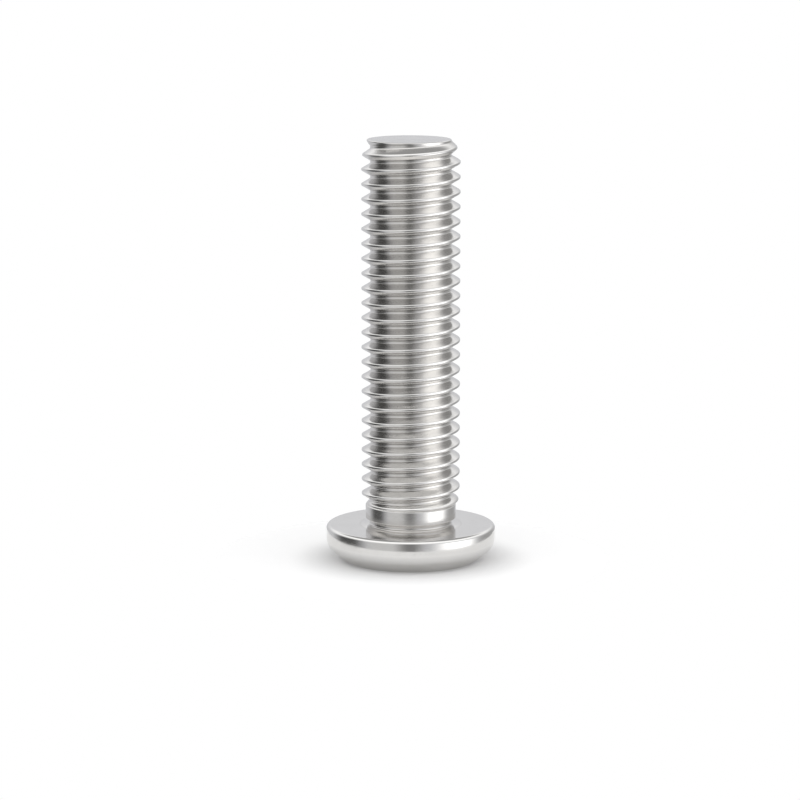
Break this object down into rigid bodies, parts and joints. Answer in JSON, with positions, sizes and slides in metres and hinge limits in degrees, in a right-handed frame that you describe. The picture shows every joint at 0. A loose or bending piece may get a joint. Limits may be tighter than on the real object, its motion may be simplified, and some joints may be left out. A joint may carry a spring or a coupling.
{
  "type": "furniture connector bolt",
  "caption": "Fully threaded furniture connector bolt with a low, flat-faced bevelled head, a hex key socket and a relieved neck; it clamps panels and frames together.",
  "frame": {"origin": "centre of the head's flat face, which lies on the surface that the bolt stands on", "axes": "+Z along the shank, from the head's face to the threaded end; +X through a corner of the hex socket"},
  "size_m": [0.0172, 0.0172, 0.0428],
  "materials": {
    "plated_steel": "bright nickel plate, smooth, with faint turning and rolling marks"
  },
  "bodies": {
    "root": {"connector_bolt": "plated_steel"}
  },
  "joints": []
}
